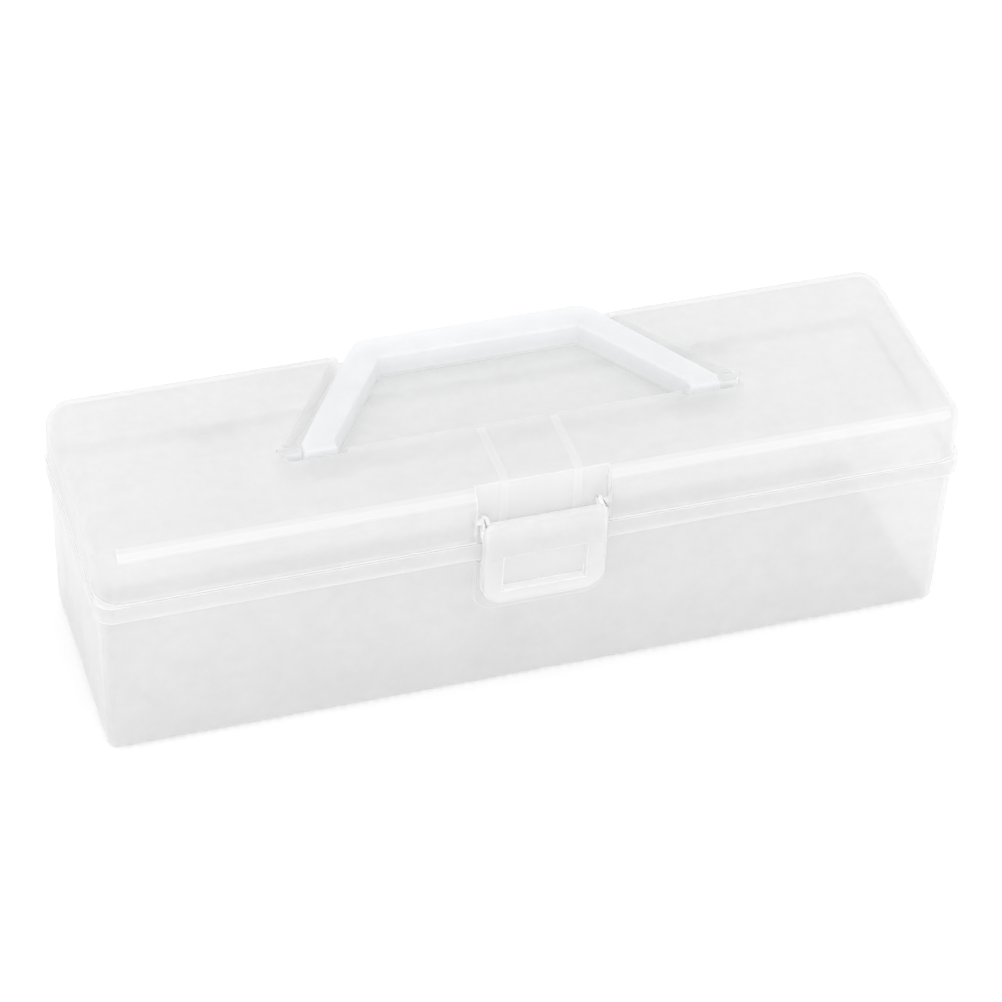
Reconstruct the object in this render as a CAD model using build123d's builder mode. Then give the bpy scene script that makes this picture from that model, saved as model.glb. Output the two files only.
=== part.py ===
from build123d import *
import os
from math import atan, degrees

# Long carrying box with a snap-on hinged lid, a folding carrying handle and a front latch.
# Frame: +X along the box, the latch faces -Y, +Z up, origin at the centre of the base's underside.
# All four pieces are moulded polypropylene. Dimensions in millimetres.

os.makedirs("parts", exist_ok=True)

# Overall size, closed
rim_length = 320.0
rim_width = 92.8
lid_top = 93.6
wall = 1.8

# Base tub
base_top = 68.4
base_foot_length = 314.4
base_foot_width = 87.2
base_flare = 1.0
base_flare_height = 62.9
base_corner = 3.4
base_foot_round = 3.0
floor_thickness = 2.2

# Rim band of the lid, which drops over the top of the tub
rim_bottom = 62.9
rim_top = 70.2
rim_corner = 6.0
band_wall = 1.2
seat = 68.7

# Lid shell above the band
lid_inset = 0.4
lid_corner = 10.0
lid_round = 9.2

# Rear hinges: a bar between two ears on the tub, a snap hook on the lid
hinge_y = 50.4
hinge_z = 60.0
hinge_places = (-95.0, 95.0)
hinge_bar_radius = 2.0
hinge_ear_radius = 3.6
hinge_ear_width = 3.0
hinge_ear_root_drop = 5.5
hinge_ear_root_rise = 0.5
hook_width = 16.0
hook_radius = 3.8
hook_root_bottom = 63.9
hook_root_top = 69.6
hook_slot = 3.2
hook_slot_angle = 20.0
stop_angle = -70.0
stop_reach = 5.4
stop_width = 3.0

# Handle and the pocket that it folds into
handle_top = 95.1
handle_thickness = 9.5
pivot_y = -6.5
pivot_z = 90.5
foot_front_y = -10.9
foot_bottom_round = 4.4
handle_edge_round = 1.1
handle_outer_corner = 9.0
handle_inner_corner = 1.5
handle_back = 45.9
leg_slope = 0.687
leg_reference_y = 20.0
leg_outer_x = 60.8
leg_outer_slope = 0.65
leg_width_x = 13.6
grip_width = 12.0
foot_outer_x = 77.4
handle_wall = 2.3
channel_start_y = 4.0
pivot_pin_radius = 2.2
pivot_pin_length = 5.2
pivot_ear_radius = 3.4
pivot_ear_gap = 0.6
pocket_floor = 85.2
pocket_front_y = -10.1
pocket_bay_y = -12.7
pocket_bay_inner_x = 62.6
pocket_bay_outer_x = 84.5
pocket_side_x = 66.6
pocket_corner = 3.0
pocket_edge_round = 0.8
pocket_overrun = 2.0

# Latch, its niche in the lid and its seat on the tub
niche_half_width = 24.4
niche_face_y = -41.2
latch_half_width = 22.8
latch_bottom = 43.4
latch_top = 81.0
latch_front_y = -50.5
latch_plate = 2.4
latch_wall = 1.8
latch_bottom_corner = 8.0
latch_top_corner = 3.5
latch_pivot_y = -44.0
latch_pivot_z = 78.4
latch_arm_outer_x = 22.2
latch_arm_width = 2.0
latch_arm_radius = 2.1
latch_arm_root_bottom = 73.0
latch_arm_root_top = 79.6
latch_pin_radius = 1.2
latch_pin_end_x = 25.8
latch_back_y = -43.7
latch_skirt_y = -45.7
latch_open_top = 76.5
band_clear_y = -46.8
band_clear_bottom = 61.9
band_clear_top = 71.4
skirt_clear_top = 62.4
finger_half_width = 15.5
finger_bottom = 49.9
finger_top = 65.2
finger_depth = 3.0
finger_depth_top = 0.8
finger_wall = 1.4
seat_half_width = 24.5
seat_bottom = 37.5
seat_top = 60.5
seat_face_y = -45.3
seat_corner = 8.0
catch_width = 24.0
catch_bottom = 45.6
catch_top = 48.0
catch_lip = 1.2
catch_y = -46.6
catch_clear_y = -47.0

# Stiffening ribs under the lid, from the handle pocket to the latch niche
rib_x = 13.6
rib_width = 2.4
rib_depth = 1.8

# Clearances
axial_gap = 0.5
bore_gap = 0.05

# Depths by which joined features reach into one another
root_width = 0.8
root_sink = 0.5
ear_sink = 0.6
cut_overrun = 1.0

# Tolerance for picking edges and corners by their position
near = 0.01

# Worked out from the dimensions above
base_half_width = base_foot_width / 2 + base_flare
flare_angle = degrees(atan(base_flare / base_flare_height))
lid_length = rim_length - 2 * lid_inset
lid_width = rim_width - 2 * lid_inset


def leg_x(x_at_reference, y, slope=leg_slope):
    """Plan position of a sloping leg or pocket side at the given y."""
    return x_at_reference - slope * (y - leg_reference_y)


def arm_profile(x, y, z, radius, root_y, root_bottom, root_top):
    """Round eye about a pivot, joined smoothly to a root on a wall, seen along X."""
    with BuildSketch(Plane.YZ.offset(x)) as arm:
        with Locations((y, z)):
            Circle(radius)
        with Locations((root_y, (root_bottom + root_top) / 2)):
            Rectangle(root_width, root_top - root_bottom)
        make_hull()
    return arm.sketch


def eye_and_slot(x, y, z, radius, slot, slot_angle, reach):
    """Bore of a snap hook with the narrower mouth that the bar is pressed through."""
    with BuildSketch(Plane.YZ.offset(x)) as opening:
        with Locations((y, z)):
            Circle(radius)
        with Locations(Location((y, z), slot_angle)):
            Rectangle(reach, slot, align=(Align.MIN, Align.CENTER))
    return opening.sketch


def bar_profile(x, y, z, radius):
    """Round hinge bar or pin, seen along X."""
    with BuildSketch(Plane.YZ.offset(x)) as bar:
        with Locations((y, z)):
            Circle(radius)
    return bar.sketch


# ---------------------------------------------------------------- base tub
with BuildPart() as base_tub:
    with BuildSketch(Plane.XY):
        RectangleRounded(base_foot_length, base_foot_width, base_corner)
    extrude(amount=base_top, taper=-flare_angle)
    fillet(base_tub.edges().group_by(Axis.Z)[0], base_foot_round)

    # Raised seat behind the latch
    with BuildSketch(Plane.XZ.offset(-seat_face_y)):
        with Locations((0, (seat_bottom + seat_top) / 2)):
            seat_panel = Rectangle(2 * seat_half_width, seat_top - seat_bottom)
        fillet(seat_panel.vertices().group_by(Axis.Y)[0], seat_corner)
    extrude(amount=-(wall - seat_face_y - base_half_width))

    # Inside of the tub
    with BuildSketch(Plane.XY.offset(floor_thickness)):
        RectangleRounded(
            base_foot_length - 2 * wall, base_foot_width - 2 * wall, base_corner - wall / 2
        )
    extrude(amount=base_top, taper=-flare_angle, mode=Mode.SUBTRACT)

    # Catch for the latch, with a sloping top
    with BuildSketch(Plane.YZ.offset(-catch_width / 2)):
        with BuildLine():
            Polyline(
                (seat_face_y + root_sink, catch_bottom),
                (catch_y, catch_bottom),
                (catch_y, catch_bottom + catch_lip),
                (seat_face_y + root_sink, catch_top),
                close=True,
            )
        make_face()
    extrude(amount=catch_width)

    # Hinge ears and the bars between them
    for x in hinge_places:
        span = hook_width / 2 + axial_gap
        for ear_x in (x - span - hinge_ear_width, x + span):
            extrude(
                arm_profile(
                    ear_x, hinge_y, hinge_z, hinge_ear_radius,
                    base_half_width - root_sink,
                    hinge_z - hinge_ear_root_drop, hinge_z + hinge_ear_root_rise,
                ),
                amount=hinge_ear_width,
            )
        extrude(bar_profile(x - span, hinge_y, hinge_z, hinge_bar_radius), amount=2 * span)
base_tub.part.label = "base_tub"
export_step(base_tub.part, "parts/base_tub.step")

# ---------------------------------------------------------------- lid
with BuildSketch(Plane.XY) as pocket_outline:
    with BuildLine():
        pocket_outer_y = leg_reference_y + (pocket_side_x - pocket_bay_outer_x) / leg_slope
        back_y = rim_width / 2 + pocket_overrun
        right_side = Polyline(
            (0, pocket_front_y),
            (pocket_bay_inner_x, pocket_front_y),
            (pocket_bay_inner_x, pocket_bay_y),
            (pocket_bay_outer_x, pocket_bay_y),
            (pocket_bay_outer_x, pocket_outer_y),
            (leg_x(pocket_side_x, back_y), back_y),
            (0, back_y),
        )
        mirror(right_side, about=Plane.YZ)
    make_face()
    outer_corners = pocket_outline.vertices().filter_by(
        lambda v: abs(abs(v.X) - pocket_bay_outer_x) < near
    )
    fillet(outer_corners, pocket_corner)

# Hollow of the lid: everything inside the shell except the walls of the pocket and the niche
with BuildPart() as lid_hollow:
    with BuildSketch(Plane.XY.offset(seat - cut_overrun)):
        RectangleRounded(lid_length - 2 * wall, lid_width - 2 * wall, lid_corner - wall)
    extrude(amount=lid_top - wall - seat + cut_overrun)
    fillet(lid_hollow.edges().group_by(Axis.Z)[-1], lid_round - wall)
    with BuildSketch(Plane.XY.offset(pocket_floor - wall)):
        add(pocket_outline.sketch)
        offset(amount=wall, mode=Mode.REPLACE)
    extrude(amount=lid_top, mode=Mode.SUBTRACT)
    with BuildSketch(Plane.XY.offset(rim_top - wall)):
        with Locations((0, niche_face_y + wall)):
            Rectangle(
                2 * (niche_half_width + wall), rim_width / 2, align=(Align.CENTER, Align.MAX)
            )
    extrude(amount=lid_top, mode=Mode.SUBTRACT)
    # Ribs from the pocket's front wall to the niche, and down the niche
    for x in (-rib_x, rib_x):
        with BuildSketch(Plane.XY.offset(lid_top - wall - rib_depth)):
            with Locations((x, pocket_front_y)):
                Rectangle(
                    rib_width,
                    pocket_front_y - niche_face_y,
                    align=(Align.CENTER, Align.MAX),
                )
        extrude(amount=lid_top, mode=Mode.SUBTRACT)
        with BuildSketch(Plane.XY.offset(rim_top)):
            with Locations((x, niche_face_y + wall + rib_depth)):
                Rectangle(rib_width, 2 * rib_depth, align=(Align.CENTER, Align.MAX))
        extrude(amount=lid_top, mode=Mode.SUBTRACT)

with BuildPart() as lid:
    with BuildSketch(Plane.XY.offset(rim_bottom)):
        RectangleRounded(lid_length, lid_width, lid_corner)
    extrude(amount=lid_top - rim_bottom)
    fillet(lid.edges().group_by(Axis.Z)[-1], lid_round)
    with BuildSketch(Plane.XY.offset(rim_bottom)):
        RectangleRounded(rim_length, rim_width, rim_corner)
    extrude(amount=rim_top - rim_bottom)

    # Pocket for the folded handle, open at the back
    with BuildSketch(Plane.XY.offset(pocket_floor)):
        add(pocket_outline.sketch)
    extrude(amount=lid_top, mode=Mode.SUBTRACT)
    pocket_edges = lid.edges().filter_by(
        lambda e: abs(e.center().Z - lid_top) < near
        and abs(e.center().X) < pocket_bay_outer_x + near
        and e.center().Y > pocket_bay_y - near
    )
    fillet(pocket_edges, pocket_edge_round)

    # Niche for the latch
    with BuildSketch(Plane.XY.offset(rim_top)):
        with Locations((0, niche_face_y)):
            Rectangle(2 * niche_half_width, rim_width, align=(Align.CENTER, Align.MAX))
    extrude(amount=lid_top, mode=Mode.SUBTRACT)

    # Inside of the shell, and of the band around the tub
    add(lid_hollow.part, mode=Mode.SUBTRACT)
    with BuildSketch(Plane.XY.offset(rim_bottom)):
        RectangleRounded(rim_length - 2 * band_wall, rim_width - 2 * band_wall, rim_corner - band_wall)
    extrude(amount=seat - rim_bottom, mode=Mode.SUBTRACT)

    # Ears that hold the handle's pivot pins
    for side in (-1, 1):
        inner_x = foot_outer_x + pivot_ear_gap
        outer_x = pocket_bay_outer_x + wall
        start = inner_x if side > 0 else -outer_x
        extrude(
            arm_profile(
                start, pivot_y, pivot_z, pivot_ear_radius, pivot_y, pocket_floor - ear_sink, pivot_z
            ),
            amount=outer_x - inner_x,
        )
        with BuildSketch(Plane.YZ.offset(start)):
            with Locations((pivot_y, (pocket_floor - ear_sink + pivot_z) / 2)):
                Rectangle(2 * pivot_ear_radius, pivot_z - pocket_floor + ear_sink)
        extrude(amount=outer_x - inner_x)
        bore_depth = pivot_pin_length + axial_gap
        bore_start = inner_x if side > 0 else -inner_x - bore_depth
        extrude(
            bar_profile(bore_start, pivot_y, pivot_z, pivot_pin_radius + bore_gap),
            amount=bore_depth,
            mode=Mode.SUBTRACT,
        )

    # Holes in the sides of the niche for the latch's pins
    for start in (-niche_half_width - wall - root_sink, niche_half_width - root_sink):
        extrude(
            bar_profile(start, latch_pivot_y, latch_pivot_z, latch_pin_radius + bore_gap),
            amount=wall + 2 * root_sink,
            mode=Mode.SUBTRACT,
        )

    # Snap hooks of the rear hinges, each with a heel that stops the open lid against the tub
    for x in hinge_places:
        start = x - hook_width / 2
        extrude(
            arm_profile(
                start, hinge_y, hinge_z, hook_radius,
                rim_width / 2 - root_sink, hook_root_bottom, hook_root_top,
            ),
            amount=hook_width,
        )
        with BuildSketch(Plane.YZ.offset(start)):
            with Locations(Location((hinge_y, hinge_z), stop_angle)):
                Rectangle(stop_reach, stop_width, align=(Align.MIN, Align.MIN))
        extrude(amount=hook_width)
        extrude(
            eye_and_slot(
                start, hinge_y, hinge_z, hinge_bar_radius + bore_gap,
                hook_slot, hook_slot_angle, 2 * hook_radius,
            ),
            amount=hook_width,
            mode=Mode.SUBTRACT,
        )
lid.part.label = "lid"
export_step(lid.part, "parts/lid.step")

# ---------------------------------------------------------------- handle
with BuildSketch(Plane.XY) as handle_plan:
    with BuildLine():
        foot_back_y = leg_reference_y + (leg_outer_x - foot_outer_x) / leg_outer_slope
        inner_leg_x = leg_outer_x - leg_width_x
        foot_inner_x = leg_x(inner_leg_x, pivot_y)
        grip_front_y = handle_back - grip_width
        right_side = Polyline(
            (0, handle_back),
            (leg_x(leg_outer_x, handle_back, leg_outer_slope), handle_back),
            (foot_outer_x, foot_back_y),
            (foot_outer_x, foot_front_y),
            (foot_inner_x, foot_front_y),
            (foot_inner_x, pivot_y),
            (leg_x(inner_leg_x, grip_front_y), grip_front_y),
            (0, grip_front_y),
        )
        mirror(right_side, about=Plane.YZ)
    make_face()
    fillet(handle_plan.vertices().group_by(Axis.Y)[-1], handle_outer_corner)
    inner_corners = handle_plan.vertices().filter_by(lambda v: abs(v.Y - grip_front_y) < near)
    fillet(inner_corners, handle_inner_corner)

with BuildPart() as handle:
    with BuildSketch(Plane.XY.offset(handle_top - handle_thickness)):
        add(handle_plan.sketch)
    extrude(amount=handle_thickness)
    fillet(handle.edges().group_by(Axis.Z)[-1], handle_edge_round)
    # Channel along the underside of the grip and legs
    with BuildSketch(Plane.XY.offset(handle_top - handle_thickness)):
        add(handle_plan.sketch)
        offset(amount=-handle_wall, mode=Mode.REPLACE)
        with Locations((0, channel_start_y)):
            Rectangle(
                2 * foot_outer_x, rim_width, align=(Align.CENTER, Align.MIN), mode=Mode.INTERSECT
            )
    extrude(amount=handle_thickness - handle_wall, mode=Mode.SUBTRACT)
    # Rounded ends let the feet turn in the pocket
    foot_ends = handle.edges().filter_by(Axis.X).group_by(Axis.Y)[0].sort_by(Axis.Z)
    fillet(foot_ends[:2], foot_bottom_round)
    # A stub pin on the outer side of each foot
    for side in (-1, 1):
        pin_length = pivot_pin_length + pivot_ear_gap
        pin_start = foot_outer_x if side > 0 else -foot_outer_x - pin_length
        extrude(bar_profile(pin_start, pivot_y, pivot_z, pivot_pin_radius), amount=pin_length)
handle.part.label = "handle"
export_step(handle.part, "parts/handle.step")

# ---------------------------------------------------------------- latch
with BuildSketch(Plane.XZ) as latch_plan:
    with Locations((0, (latch_bottom + latch_top) / 2)):
        plate = Rectangle(2 * latch_half_width, latch_top - latch_bottom)
    fillet(plate.vertices().group_by(Axis.Y)[0], latch_bottom_corner)
    fillet(latch_plan.vertices().group_by(Axis.Y)[-1], latch_top_corner)

with BuildPart() as latch:
    # Plate with a skirt around its back
    with BuildSketch(Plane.XZ.offset(-latch_front_y)):
        add(latch_plan.sketch)
    extrude(amount=latch_front_y - latch_back_y)
    fillet(latch.edges().group_by(Axis.Y)[0], latch_wall)
    with BuildSketch(Plane.XZ.offset(-latch_front_y - latch_plate)):
        add(latch_plan.sketch)
        offset(amount=-latch_wall, mode=Mode.REPLACE)
    extrude(amount=latch_front_y, mode=Mode.SUBTRACT)
    # The skirt follows the tub, clears the band and stops short of the hinge arms
    cuts = (
        (latch_skirt_y, latch_bottom, skirt_clear_top, latch_half_width),
        (band_clear_y, band_clear_bottom, band_clear_top, latch_half_width),
        (catch_clear_y, latch_bottom, catch_top, latch_half_width - latch_wall),
        (latch_front_y + latch_plate, latch_open_top, latch_top, latch_half_width),
    )
    for cut_y, cut_bottom, cut_top, half_width in cuts:
        with BuildSketch(Plane.XZ.offset(-cut_y)):
            with Locations((0, cut_bottom)):
                Rectangle(2 * half_width, cut_top - cut_bottom, align=(Align.CENTER, Align.MIN))
        extrude(amount=cut_y, mode=Mode.SUBTRACT)
    # Finger recess: a scoop that deepens towards the ledge at its bottom
    for margin, mode in ((finger_wall, Mode.ADD), (0.0, Mode.SUBTRACT)):
        with BuildSketch(Plane.YZ.offset(-finger_half_width - margin)):
            with BuildLine():
                Polyline(
                    (latch_front_y + margin, finger_bottom - margin),
                    (latch_front_y + finger_depth + margin, finger_bottom - margin),
                    (latch_front_y + finger_depth_top + margin, finger_top + margin),
                    (latch_front_y + margin, finger_top + margin),
                    close=True,
                )
            make_face()
        extrude(amount=2 * (finger_half_width + margin), mode=mode)
    # An arm at each end, with a pin that snaps into the side of the niche
    for side in (-1, 1):
        inner_x = latch_arm_outer_x - latch_arm_width
        extrude(
            arm_profile(
                inner_x if side > 0 else -latch_arm_outer_x,
                latch_pivot_y, latch_pivot_z, latch_arm_radius,
                latch_front_y + latch_plate, latch_arm_root_bottom, latch_arm_root_top,
            ),
            amount=latch_arm_width,
        )
        extrude(
            bar_profile(
                inner_x if side > 0 else -latch_pin_end_x,
                latch_pivot_y, latch_pivot_z, latch_pin_radius,
            ),
            amount=latch_pin_end_x - inner_x,
        )
latch.part.label = "latch"
export_step(latch.part, "parts/latch.step")
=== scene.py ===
from math import cos, radians, sin

import bpy
from mathutils import Matrix, Vector


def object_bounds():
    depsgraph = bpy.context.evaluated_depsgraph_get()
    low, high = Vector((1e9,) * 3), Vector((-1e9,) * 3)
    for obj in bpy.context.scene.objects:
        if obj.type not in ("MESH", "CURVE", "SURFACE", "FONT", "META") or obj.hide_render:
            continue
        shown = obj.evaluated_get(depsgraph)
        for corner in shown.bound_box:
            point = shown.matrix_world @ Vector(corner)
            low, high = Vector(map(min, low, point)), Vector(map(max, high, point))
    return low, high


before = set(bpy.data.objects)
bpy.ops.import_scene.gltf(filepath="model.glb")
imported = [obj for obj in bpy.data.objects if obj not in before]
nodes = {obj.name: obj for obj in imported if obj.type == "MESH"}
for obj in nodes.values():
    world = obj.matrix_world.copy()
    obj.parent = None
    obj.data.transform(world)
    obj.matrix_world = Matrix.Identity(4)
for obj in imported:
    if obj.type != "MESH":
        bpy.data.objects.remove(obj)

# Look of a semi-clear moulded polypropylene carrying box on a pale studio floor.
# Everything is in metres and in the same frame as the CAD model.

cad_bounds = [list(corner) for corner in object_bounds()]
scene = bpy.context.scene

# ------------------------------------------------------------ camera
CAMERA_AZIMUTH = -19.2
CAMERA_ELEVATION = 40.42
CAMERA_ROLL = 2.83
CAMERA_DISTANCE = 1.3629
CAMERA_TARGET = Vector((-0.0003, 0.0, 0.0467))
CAMERA_CLIP = (0.05, 50.0)
FIELD_OF_VIEW = 15.27


def add_camera():
    """Long lens from the front left and above, rolled slightly about its axis."""
    azimuth = radians(CAMERA_AZIMUTH)
    elevation = radians(CAMERA_ELEVATION)
    roll = radians(CAMERA_ROLL)
    back = Vector(
        (sin(azimuth) * cos(elevation), -cos(azimuth) * cos(elevation), sin(elevation))
    )
    right = (-back).cross(Vector((0, 0, 1))).normalized()
    up = right.cross(-back)
    rolled_right = right * cos(roll) + up * sin(roll)
    rolled_up = up * cos(roll) - right * sin(roll)
    data = bpy.data.cameras.new("studio_camera")
    data.angle = radians(FIELD_OF_VIEW)
    data.clip_start, data.clip_end = CAMERA_CLIP
    camera = bpy.data.objects.new("studio_camera", data)
    turn = Matrix((rolled_right, rolled_up, back)).transposed().to_4x4()
    camera.matrix_world = Matrix.Translation(CAMERA_TARGET + back * CAMERA_DISTANCE) @ turn
    scene.collection.objects.link(camera)
    scene.camera = camera


# ------------------------------------------------------------ stage and light
WORLD_STRENGTH = 1.055
FLOOR_SIZE = 30.0
FLOOR_DROP = 0.0001
FLOOR_LEVEL = 0.99

# Name, place, point that it faces, width and height, power in watts
SOFT_BOXES = (
    ("front_box", (0.36, -0.82, 1.02), (0, -0.04, 0.09), (0.7, 0.8), 0.8),
    ("low_front_box", (-0.1, -1.6, 0.5), (0, 0, 0.05), (3.0, 0.9), 3.9),
    ("overhead_box", (-0.7, 0.1, 1.6), (0, 0, 0.05), (1.6, 1.6), 1.2),
    ("left_box", (-1.3, -0.7, 0.6), (0, 0, 0.05), (1.2, 1.2), 1.4),
)


def grey(level):
    """Opaque neutral colour."""
    return (level, level, level, 1.0)


def add_world():
    """Even, pale surroundings, like a light tent."""
    world = bpy.data.worlds.new("light_tent")
    world.use_nodes = True
    background = world.node_tree.nodes["Background"]
    background.inputs["Color"].default_value = grey(1.0)
    background.inputs["Strength"].default_value = WORLD_STRENGTH
    scene.world = world


def add_soft_box(name, place, target, size, power):
    """Rectangular area light that faces target."""
    data = bpy.data.lights.new(name, "AREA")
    data.shape = "RECTANGLE"
    data.size, data.size_y = size
    data.energy = power
    light = bpy.data.objects.new(name, data)
    light.location = place
    facing = Vector(target) - Vector(place)
    light.rotation_euler = facing.to_track_quat("-Z", "Y").to_euler()
    scene.collection.objects.link(light)


def add_floor():
    """Pale matte floor just under the box."""
    height = cad_bounds[0][2] - FLOOR_DROP
    bpy.ops.mesh.primitive_plane_add(size=FLOOR_SIZE, location=(0, 0, height))
    floor = bpy.context.object
    floor.name = "floor"
    material = bpy.data.materials.new("pale_floor")
    material.use_nodes = True
    shader = material.node_tree.nodes["Principled BSDF"]
    shader.inputs["Base Color"].default_value = grey(FLOOR_LEVEL)
    shader.inputs["Roughness"].default_value = 0.9
    shader.inputs["Specular IOR Level"].default_value = 0.0
    floor.data.materials.append(material)


# ------------------------------------------------------------ shader nodes
USUAL_NOISE = (0.3, 0.7)


def node(tree, kind, **values):
    """New shader node with its named inputs set."""
    made = tree.nodes.new(kind)
    for key, value in values.items():
        made.inputs[key].default_value = value
    return made


def math_node(tree, operation, *operands):
    """New math node; each operand is a socket or a number."""
    made = tree.nodes.new("ShaderNodeMath")
    made.operation = operation
    for socket, operand in zip(made.inputs, operands):
        if isinstance(operand, (int, float)):
            socket.default_value = operand
        else:
            tree.links.new(operand, socket)
    return made.outputs[0]


def noise(tree, coordinates, scale, detail, roughness):
    """Procedural noise in object space."""
    made = node(tree, "ShaderNodeTexNoise", Scale=scale, Detail=detail, Roughness=roughness)
    tree.links.new(coordinates.outputs["Object"], made.inputs["Vector"])
    return made.outputs["Fac"]


def remap(tree, source, from_range, to_range):
    """New node that maps source from one range to another."""
    made = tree.nodes.new("ShaderNodeMapRange")
    made.inputs["From Min"].default_value, made.inputs["From Max"].default_value = from_range
    made.inputs["To Min"].default_value, made.inputs["To Max"].default_value = to_range
    tree.links.new(source, made.inputs["Value"])
    return made


def blend_colours(tree, factor, first, second):
    """Mix of two colours; each is a value or a socket."""
    made = tree.nodes.new("ShaderNodeMix")
    made.data_type = "RGBA"
    tree.links.new(factor, made.inputs["Factor"])
    # Places 6 and 7 are the colour inputs, and output 2 is the colour
    for socket, colour in ((made.inputs[6], first), (made.inputs[7], second)):
        if isinstance(colour, tuple):
            socket.default_value = colour
        else:
            tree.links.new(colour, socket)
    return made.outputs[2]


def blend_values(tree, factor, first, second):
    """Mix of a socket and a number."""
    made = tree.nodes.new("ShaderNodeMix")
    tree.links.new(factor, made.inputs["Factor"])
    # Places 2 and 3 are the number inputs, and output 0 is the number
    tree.links.new(first, made.inputs[2])
    made.inputs[3].default_value = second
    return made.outputs[0]


def blend_shaders(tree, factor, first, second):
    """Mix of two shaders; factor is a number or a socket."""
    made = tree.nodes.new("ShaderNodeMixShader")
    if isinstance(factor, float):
        made.inputs[0].default_value = factor
    else:
        tree.links.new(factor, made.inputs[0])
    tree.links.new(first.outputs[0], made.inputs[1])
    tree.links.new(second.outputs[0], made.inputs[2])
    return made


# ------------------------------------------------------------ zones of a moulding
FAR = 1.0
ANYWHERE = (-FAR, FAR)

# How far the pocket's sides, and the legs in it, close in towards the middle, per metre back
LEG_SLOPE = 0.687


def zone(tone, opacity, x=ANYWHERE, y=ANYWHERE, z=ANYWHERE):
    """Box with its own tone and opacity, for a thicker moulding, a painted highlight or paint
    that lifts shade.
    """
    low, high = zip(x, y, z)
    return low, high, tone, opacity


def both_sides(tone, opacity, x, y=ANYWHERE, z=ANYWHERE):
    """The same zone on the left and on the right."""
    mirrored = (-x[1], -x[0])
    return zone(tone, opacity, mirrored, y, z), zone(tone, opacity, x, y, z)


def about(middle, reach):
    """Range from reach below the middle to reach above it."""
    return (middle - reach, middle + reach)


def below(place):
    """Range from far down, or far in front, to place."""
    return (-FAR, place)


def above(place):
    """Range from place to far up, or far behind."""
    return (place, FAR)


def box_mask(tree, axes, low, high):
    """One inside the box from low to high, in object space, and zero outside it."""
    mask = None
    for name, start, end in zip("XYZ", low, high):
        middle = (start + end) / 2
        half = (end - start) / 2
        inside = math_node(tree, "COMPARE", axes.outputs[name], middle, half)
        mask = inside if mask is None else math_node(tree, "MULTIPLY", mask, inside)
    return mask


def along_legs(tree, axes):
    """Coordinates sheared so that both sloping sides of the pocket run straight back."""
    reach = math_node(tree, "ABSOLUTE", axes.outputs["X"])
    shift = math_node(tree, "MULTIPLY", axes.outputs["Y"], LEG_SLOPE)
    joined = tree.nodes.new("ShaderNodeCombineXYZ")
    tree.links.new(math_node(tree, "ADD", reach, shift), joined.inputs["X"])
    tree.links.new(axes.outputs["Y"], joined.inputs["Y"])
    tree.links.new(axes.outputs["Z"], joined.inputs["Z"])
    made = tree.nodes.new("ShaderNodeSeparateXYZ")
    tree.links.new(joined.outputs[0], made.inputs[0])
    return made


# ------------------------------------------------------------ moulded plastic
SLANT_POWER = 5.0
GLOSS_HEAD_ON = 0.045
GLOSS_GAIN_AT_A_SLANT = 0.15

# Painted shade at the foot: heights where it sets in and is strongest, and its largest share
FOOT_SHADE_FADE = (0.045, 0.0)
FOOT_SHADE_SHARE = 0.6


def uneven_normal(tree, coordinates):
    """Surface normal with a fine grain over a broad ripple."""
    grain = noise(tree, coordinates, scale=1400.0, detail=2.0, roughness=0.5)
    fine = node(tree, "ShaderNodeBump", Strength=0.1, Distance=0.00006)
    tree.links.new(grain, fine.inputs["Height"])
    ripple = noise(tree, coordinates, scale=45.0, detail=2.0, roughness=0.4)
    broad = node(tree, "ShaderNodeBump", Strength=0.2, Distance=0.0004)
    tree.links.new(ripple, broad.inputs["Height"])
    tree.links.new(fine.outputs["Normal"], broad.inputs["Normal"])
    return broad.outputs["Normal"]


def slant_of(tree, normal):
    """Zero where the surface is seen head-on, rising to one at a grazing angle."""
    facing = node(tree, "ShaderNodeLayerWeight", Blend=0.5)
    tree.links.new(normal, facing.inputs["Normal"])
    return math_node(tree, "POWER", facing.outputs["Facing"], SLANT_POWER)


def paint_foot_shade(tree, axes, tone, foot_shade_tone):
    """Painted shade: tone that changes smoothly towards the foot shade tone near the underside.
    """
    low_down = remap(tree, axes.outputs["Z"], FOOT_SHADE_FADE, (0.0, 1.0))
    low_down.interpolation_type = "SMOOTHSTEP"
    share = math_node(tree, "MULTIPLY", low_down.outputs["Result"], FOOT_SHADE_SHARE)
    return blend_colours(tree, share, tone, grey(foot_shade_tone))


def milky_body(tree, tone, normal, through):
    """Matte scattering body, of which the share through is lit from behind."""
    lit = node(tree, "ShaderNodeBsdfPrincipled", Roughness=0.5)
    lit.inputs["Specular IOR Level"].default_value = 0.0
    tree.links.new(tone, lit.inputs["Base Color"])
    tree.links.new(normal, lit.inputs["Normal"])
    backlit = tree.nodes.new("ShaderNodeBsdfTranslucent")
    tree.links.new(tone, backlit.inputs["Color"])
    return blend_shaders(tree, through, lit, backlit)


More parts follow.
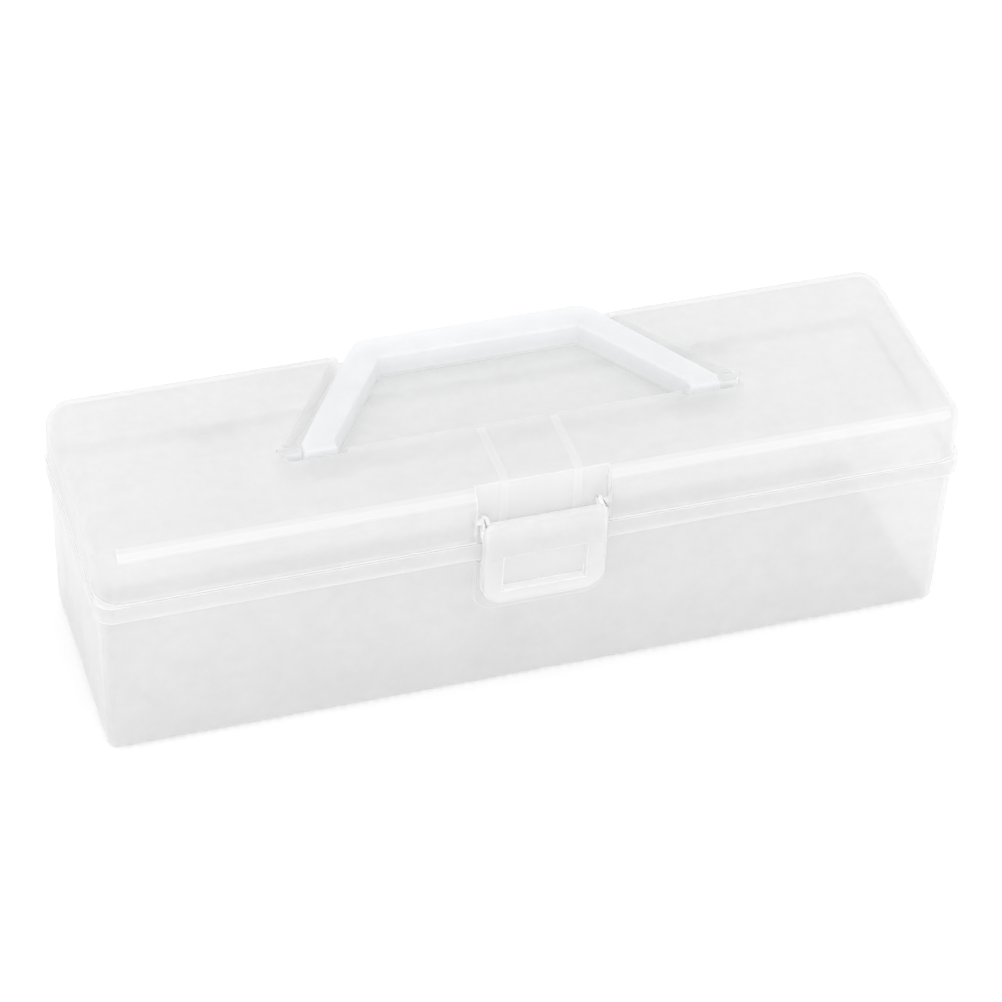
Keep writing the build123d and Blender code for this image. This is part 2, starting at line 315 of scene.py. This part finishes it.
def moulded_plastic(
    name, light, dark, opacity, opacity_spread, through, gloss_roughness,
    zones=(), leg_zones=(), foot_shade_tone=None,
):
    """Milky, slightly cloudy plastic: a thin scattering body under a clear gloss.

    The zones are boxes along the axes, and the leg zones run along the pocket's sloping sides;
    many zones paint highlights or lift shade.
    The foot shade tone is painted shade, blended in towards the underside.
    """
    material = bpy.data.materials.new(name)
    material.use_nodes = True
    tree = material.node_tree
    tree.nodes.clear()
    coordinates = tree.nodes.new("ShaderNodeTexCoord")
    axes = tree.nodes.new("ShaderNodeSeparateXYZ")
    tree.links.new(coordinates.outputs["Object"], axes.inputs[0])
    normal = uneven_normal(tree, coordinates)
    slant = slant_of(tree, normal)

    cloud = noise(tree, coordinates, scale=22.0, detail=4.0, roughness=0.55)
    cloudiness = remap(tree, cloud, USUAL_NOISE, (0.0, 1.0))
    tone = blend_colours(tree, cloudiness.outputs["Result"], dark, light)
    haze = noise(tree, coordinates, scale=35.0, detail=5.0, roughness=0.6)
    haziness = remap(tree, haze, USUAL_NOISE, about(opacity, opacity_spread))
    head_on = haziness.outputs["Result"]
    # painted shade, darker towards the underside
    if foot_shade_tone is not None:
        tone = paint_foot_shade(tree, axes, tone, foot_shade_tone)
    placed_zones = [(axes, box) for box in zones]
    if leg_zones:
        leg_axes = along_legs(tree, axes)
        placed_zones += [(leg_axes, box) for box in leg_zones]
    for zone_axes, (low, high, zone_tone, zone_opacity) in placed_zones:
        mask = box_mask(tree, zone_axes, low, high)
        tone = blend_colours(tree, mask, tone, grey(zone_tone))
        head_on = blend_values(tree, mask, head_on, zone_opacity)

    # A wall seen at a slant is thicker, so it lets less through
    gain = math_node(tree, "MULTIPLY_ADD", slant, (1.0 - opacity) / opacity, 1.0)
    hiding = math_node(tree, "MULTIPLY", head_on, gain)
    hiding.node.use_clamp = True
    clear = tree.nodes.new("ShaderNodeBsdfTransparent")
    milk = blend_shaders(tree, hiding, clear, milky_body(tree, tone, normal, through))

    mirrored = math_node(tree, "MULTIPLY_ADD", slant, GLOSS_GAIN_AT_A_SLANT, GLOSS_HEAD_ON)
    gloss = node(tree, "ShaderNodeBsdfGlossy", Roughness=gloss_roughness)
    tree.links.new(normal, gloss.inputs["Normal"])
    surface = blend_shaders(tree, mirrored, milk, gloss)
    output = tree.nodes.new("ShaderNodeOutputMaterial")
    tree.links.new(surface.outputs[0], output.inputs["Surface"])
    return material


# ------------------------------------------------------------ dressing the CAD nodes
BODY, EDGE = 0, 1
WELD_DISTANCE = 0.000002
SHARP_ANGLE = 35.0
EDGE_SEGMENTS = 2


def dress(name, materials, edge_width):
    """Gives a CAD node its materials and slightly rounded edges, whose paler edge material is
    partly the thicker moulding seen edge-on and partly a painted highlight.
    """
    piece = nodes[name]
    piece.data.materials.clear()
    for material in materials:
        piece.data.materials.append(material)
    for face in piece.data.polygons:
        face.material_index = BODY
        face.use_smooth = True
    joined = piece.modifiers.new("joined_faces", "WELD")
    joined.merge_threshold = WELD_DISTANCE
    edges = piece.modifiers.new("soft_edges", "BEVEL")
    edges.width = edge_width
    edges.segments = EDGE_SEGMENTS
    edges.limit_method = "ANGLE"
    edges.angle_limit = radians(SHARP_ANGLE)
    edges.material = EDGE
    edges.use_clamp_overlap = False
    shading = piece.modifiers.new("even_shading", "WEIGHTED_NORMAL")
    shading.keep_sharp = False
    return piece


# ------------------------------------------------------------ places on the box
# Lid: painted highlight strip on the rounded front edge, and its middle, which is painted
# brightest
UNDER_TOP = 0.0923
HIGHLIGHT_STRIP_X = (-0.1520, 0.1540)
HIGHLIGHT_STRIP_BACK_Y = -0.0410
HIGHLIGHT_STRIP_FOOT = 0.0884
HIGHLIGHT_STRIP_MIDDLE_BACK_Y = -0.0425
HIGHLIGHT_STRIP_MIDDLE_Z = (0.0890, 0.0912)

# Lid: faces and rim of the latch's niche
NICHE_HALF_WIDTH = 0.0245
NICHE_BACK_Y = -0.0412
NICHE_BACK_SLACK = 0.0004
NICHE_BACK_Z = (0.0690, 0.0925)
NICHE_SIDE_SLACK = 0.0003
NICHE_SIDE_BACK_Y = -0.0413
NICHE_SIDE_Z = (0.0716, 0.0925)
NICHE_RIM_HALF_WIDTH = 0.0260
NICHE_RIM_BACK_Y = -0.0400
NICHE_RIM_FOOT = 0.0720

# Lid: stiffening ribs, which run forward under the top and then down the niche
RIB_X = (0.0120, 0.0152)
RIB_FOOT = 0.0703
RIB_START_Y = -0.0117
RIB_BEND_Y = -0.0394

# Lid: band round the rim, with the step above it
BAND_FOOT_END = 0.0634
BAND_STEP_Z = (0.0699, 0.0710)
BAND_STEP_EDGE_Z = (0.0694, 0.0707)

# Lid: pocket of the handle, and the surrounds of its pivots. LEG_FLOOR_X and LEG_WALL_X are in
# the sheared coordinates of along_legs.
POCKET_FRONT_HALF_WIDTH = 0.0610
POCKET_FRONT_Y = (-0.0109, -0.0099)
POCKET_FRONT_FOOT = 0.0840
POCKET_FLOOR_Z = (0.0830, 0.0856)
POCKET_WALL_Z = (0.0830, 0.0931)
LEG_FLOOR_X = (0.0725, 0.0802)
LEG_WALL_X = (0.0802, 0.0830)
LEG_FRONT_Y = -0.0150
PIVOT_X = (0.0765, 0.0868)
PIVOT_EDGE_X = (0.0770, 0.0870)
PIVOT_EDGE_Z = (0.0836, 0.0932)
PIVOT_Y = (-0.0148, 0.0)

# Rear: tub's rim, lid's ledge over it, and the hinges behind them
REAR_RIM_Y = 0.0380
REAR_RIM_FOOT = 0.0600
REAR_LEDGE_TOP = 0.0716
REAR_HINGE_Y = 0.0466

# Latch: arms behind the plate, finger recess with its ledge; tub: raised seat of the latch
PLATE_BACK_Y = -0.0478
PLATE_EDGE_BACK_Y = -0.0480
ARM_FOOT = 0.0700
RECESS_TOP = 0.0645
LEDGE_HALF_WIDTH = 0.0152
LEDGE_BACK_Y = -0.0474
LEDGE_Z = 0.0499
LEDGE_SLACK = 0.0002
LEDGE_EDGE_Z = (0.0496, 0.0503)
SEAT_HALF_WIDTH = 0.0250
SEAT_FACE_Y = -0.0449
SEAT_Z = (0.0370, 0.0690)

# Handle: lower rim, close to the floor of its pocket
HANDLE_RIM_TOP = 0.0870

# ------------------------------------------------------------ zones: tone, opacity and ranges
lid_zones = (
    # painted highlight strip on the rounded front edge, brightest in its middle
    zone(0.97, 0.42, x=HIGHLIGHT_STRIP_X, y=below(HIGHLIGHT_STRIP_BACK_Y), z=(HIGHLIGHT_STRIP_FOOT, UNDER_TOP)),
    zone(1.0, 0.46, x=HIGHLIGHT_STRIP_X, y=below(HIGHLIGHT_STRIP_MIDDLE_BACK_Y), z=HIGHLIGHT_STRIP_MIDDLE_Z),
    # back and sides of the niche, painted pale to lift their shade
    zone(
        1.0, 0.42,
        x=about(0.0, NICHE_HALF_WIDTH), y=about(NICHE_BACK_Y, NICHE_BACK_SLACK), z=NICHE_BACK_Z,
    ),
    *both_sides(
        1.0, 0.55,
        x=about(NICHE_HALF_WIDTH, NICHE_SIDE_SLACK), y=below(NICHE_SIDE_BACK_Y), z=NICHE_SIDE_Z,
    ),
    # ribs under the top, and down the niche
    *both_sides(0.97, 0.43, x=RIB_X, y=(NICHE_BACK_Y, RIB_START_Y), z=above(RIB_FOOT)),
    *both_sides(1.0, 0.49, x=RIB_X, y=below(RIB_BEND_Y), z=(RIB_FOOT, UNDER_TOP)),
    # painted highlight lines on the lowest edge of the band and on the step above it, where the
    # paint also lifts the corner's shade
    zone(0.97, 0.55, z=below(BAND_FOOT_END)),
    zone(1.0, 0.6, z=BAND_STEP_Z),
    # front edge of the pocket, and the surrounds of the pivots, painted paler to lift their
    # shade
    zone(
        0.95, 0.45,
        x=about(0.0, POCKET_FRONT_HALF_WIDTH), y=POCKET_FRONT_Y, z=above(POCKET_FRONT_FOOT),
    ),
    *both_sides(1.0, 0.45, x=PIVOT_X, y=PIVOT_Y, z=POCKET_WALL_Z),
    # ledge over the tub's rear rim, and the hooks of the hinges, painted pale to lift the shade
    # and shadows there
    zone(1.0, 0.45, y=(REAR_RIM_Y, REAR_HINGE_Y), z=below(REAR_LEDGE_TOP)),
    zone(1.0, 0.3, y=above(REAR_HINGE_Y)),
)
pocket_side_shade_lift_zones = (
    # floor and walls beside the legs, painted pale to lift the shade between legs and pocket
    zone(1.0, 0.6, x=LEG_FLOOR_X, y=above(LEG_FRONT_Y), z=POCKET_FLOOR_Z),
    zone(1.0, 0.4, x=LEG_WALL_X, y=above(LEG_FRONT_Y), z=POCKET_WALL_Z),
)
lid_edge_zones = (
    # painted highlight on the rim of the niche and on the step above the band; bores and ears
    # of the handle and rear hooks painted pale to lift their shade
    zone(
        0.97, 0.5,
        x=about(0.0, NICHE_RIM_HALF_WIDTH), y=below(NICHE_RIM_BACK_Y), z=above(NICHE_RIM_FOOT),
    ),
    zone(1.0, 0.6, z=BAND_STEP_EDGE_Z),
    *both_sides(1.0, 0.5, x=PIVOT_EDGE_X, y=PIVOT_Y, z=PIVOT_EDGE_Z),
    zone(1.0, 0.25, y=above(REAR_HINGE_Y)),
)
latch_zones = (
    # plate from the top of the finger recess down, in an even tone; arms and pins behind the
    # plate, painted pale to lift their shade
    zone(0.96, 0.42, z=below(RECESS_TOP)),
    zone(1.0, 0.75, y=above(PLATE_BACK_Y), z=above(ARM_FOOT)),
)
latch_edge_zones = (
    # edges behind the plate, painted pale to lift their shade, and a painted highlight on the
    # ledge of the finger recess
    zone(1.0, 0.75, y=above(PLATE_EDGE_BACK_Y)),
    zone(0.96, 0.75, x=about(0.0, LEDGE_HALF_WIDTH), y=below(LEDGE_BACK_Y), z=LEDGE_EDGE_Z),
)
tub_zones = (
    # rear rim, raised seat of the latch and rear hinges, painted pale to lift their shade
    zone(1.0, 0.45, y=above(REAR_RIM_Y), z=above(REAR_RIM_FOOT)),
    zone(0.98, 0.35, x=about(0.0, SEAT_HALF_WIDTH), y=below(SEAT_FACE_Y), z=SEAT_Z),
    zone(1.0, 0.25, y=above(REAR_HINGE_Y)),
)
handle_zones = (
    # lower rim, close to the pocket floor, painted paler to lift its shade
    zone(1.0, 0.7, z=below(HANDLE_RIM_TOP)),
)

# ------------------------------------------------------------ materials
# The tub is painted darker towards its foot, as shade
tub_plastic = moulded_plastic(
    "clear_polypropylene_tub",
    light=grey(0.94), dark=grey(0.91), opacity=0.4, opacity_spread=0.03,
    through=0.4, gloss_roughness=0.12, zones=tub_zones, foot_shade_tone=0.85,
)
lid_plastic = moulded_plastic(
    "clear_polypropylene_lid",
    light=grey(0.93), dark=grey(0.90), opacity=0.4, opacity_spread=0.03,
    through=0.45, gloss_roughness=0.2, zones=lid_zones, leg_zones=pocket_side_shade_lift_zones,
)
# Edge materials: more opaque and, on tub and lid, paler than the bodies, partly for the thicker
# moulding seen edge-on and partly as painted highlights on the edges
tub_edge = moulded_plastic(
    "clear_polypropylene_tub_edge",
    light=grey(0.95), dark=grey(0.93), opacity=0.5, opacity_spread=0.05,
    through=0.4, gloss_roughness=0.2,
)
lid_edge = moulded_plastic(
    "clear_polypropylene_lid_edge",
    light=grey(0.96), dark=grey(0.94), opacity=0.55, opacity_spread=0.05,
    through=0.35, gloss_roughness=0.2, zones=lid_edge_zones, leg_zones=pocket_side_shade_lift_zones,
)
latch_plastic = moulded_plastic(
    "clear_polypropylene_latch",
    light=grey(0.96), dark=grey(0.94), opacity=0.42, opacity_spread=0.03,
    through=0.4, gloss_roughness=0.15, zones=latch_zones,
)
latch_edge = moulded_plastic(
    "clear_polypropylene_latch_edge",
    light=grey(0.96), dark=grey(0.94), opacity=0.55, opacity_spread=0.05,
    through=0.35, gloss_roughness=0.2, zones=latch_edge_zones,
)
milky_plastic = moulded_plastic(
    "milky_polypropylene",
    light=(0.975, 0.98, 0.99, 1), dark=(0.96, 0.965, 0.98, 1),
    opacity=0.8, opacity_spread=0.04, through=0.4, gloss_roughness=0.2, zones=handle_zones,
)

# ------------------------------------------------------------ the scene
add_camera()
add_floor()
add_world()
for soft_box in SOFT_BOXES:
    add_soft_box(*soft_box)
scene.view_settings.view_transform = "Standard"

dress("base_tub", (tub_plastic, tub_edge), edge_width=0.0003)
dress("lid", (lid_plastic, lid_edge), edge_width=0.0003)
latch = dress("latch", (latch_plastic, latch_edge), edge_width=0.0004)
dress("handle", (milky_plastic, milky_plastic), edge_width=0.0003)

# The ledge at the bottom of the latch's finger recess gets the paler edge material, a painted
# highlight
for face in latch.data.polygons:
    x, y, z = latch.matrix_world @ face.center
    faces_up = face.normal.z > 0.9
    if faces_up and abs(z - LEDGE_Z) < LEDGE_SLACK and y < LEDGE_BACK_Y:
        face.material_index = EDGE
